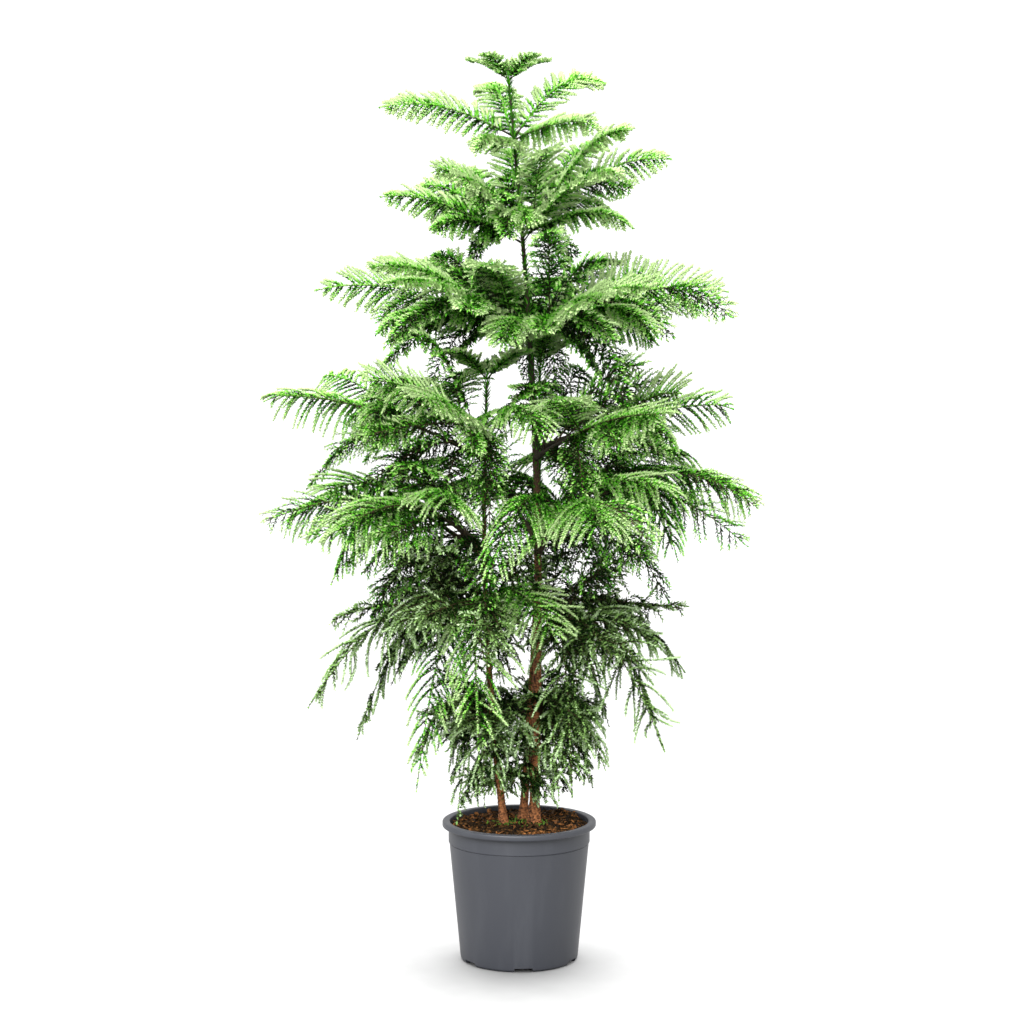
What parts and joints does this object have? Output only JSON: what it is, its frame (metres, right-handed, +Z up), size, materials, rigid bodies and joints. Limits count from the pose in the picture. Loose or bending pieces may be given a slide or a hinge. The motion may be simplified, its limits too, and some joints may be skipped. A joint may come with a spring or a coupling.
{
  "type": "potted norfolk island pine",
  "caption": "Potted Norfolk Island pine: slender tapering stems in a round nursery pot, with whorled tiers of flat, fern-like foliage that narrow to a pointed top.",
  "frame": {"origin": "centre of the pot's flat underside", "axes": "+Z up along the stems, -Y towards the viewer, +X to the viewer's right"},
  "size_m": [0.7742, 0.697, 1.3964],
  "materials": {
    "pot": "moulded satin",
    "soil": "rough crumbly",
    "bark": "scaly bark",
    "bough": "green bark",
    "foliage_upper": "waxy needles",
    "foliage_lower": "waxy needles"
  },
  "bodies": {
    "root": {"pot": "pot", "soil": "soil", "stem_main": "bark", "stem_left": "bark", "stem_back": "bark", "tier3_bough_1": "bough", "tier3_bough_2": "bough", "tier3_bough_3": "bough", "tier3_bough_4": "bough", "tier3_bough_5": "bough", "tier3_bough_6": "bough", "tier4_bough_1": "bough", "tier4_bough_2": "bough", "tier4_bough_3": "bough", "tier4_bough_4": "bough", "tier4_bough_5": "bough", "tier4_bough_6": "bough", "tier1_foliage_1": "foliage_lower", "tier1_foliage_2": "foliage_lower", "tier1_foliage_3": "foliage_lower", "tier1_foliage_4": "foliage_lower", "tier1_foliage_5": "foliage_lower", "tier2_foliage_1": "foliage_lower", "tier2_foliage_2": "foliage_lower", "tier2_foliage_3": "foliage_lower", "tier2_foliage_4": "foliage_lower", "tier2_foliage_5": "foliage_lower", "tier2_foliage_6": "foliage_lower", "tier3_foliage_1": "foliage_lower", "tier3_foliage_2": "foliage_lower", "tier3_foliage_3": "foliage_lower", "tier3_foliage_4": "foliage_lower", "tier3_foliage_5": "foliage_lower", "tier3_foliage_6": "foliage_lower", "tier4_foliage_1": "foliage_lower", "tier4_foliage_2": "foliage_lower", "tier4_foliage_3": "foliage_lower", "tier4_foliage_4": "foliage_lower", "tier4_foliage_5": "foliage_lower", "tier4_foliage_6": "foliage_lower", "tier5_foliage_1": "foliage_upper", "tier5_foliage_2": "foliage_upper", "tier5_foliage_3": "foliage_upper", "tier5_foliage_4": "foliage_upper", "tier5_foliage_5": "foliage_upper", "tier5_foliage_6": "foliage_upper", "tier6_foliage_1": "foliage_upper", "tier6_foliage_2": "foliage_upper", "tier6_foliage_3": "foliage_upper", "tier6_foliage_4": "foliage_upper", "tier6_foliage_5": "foliage_upper", "tier6_foliage_6": "foliage_upper", "tier7_foliage_1": "foliage_upper", "tier7_foliage_2": "foliage_upper", "tier7_foliage_3": "foliage_upper", "tier7_foliage_4": "foliage_upper", "tier7_foliage_5": "foliage_upper", "main_tuft": "foliage_upper", "left_tuft": "foliage_upper", "back_tuft": "foliage_upper"}
  },
  "joints": []
}
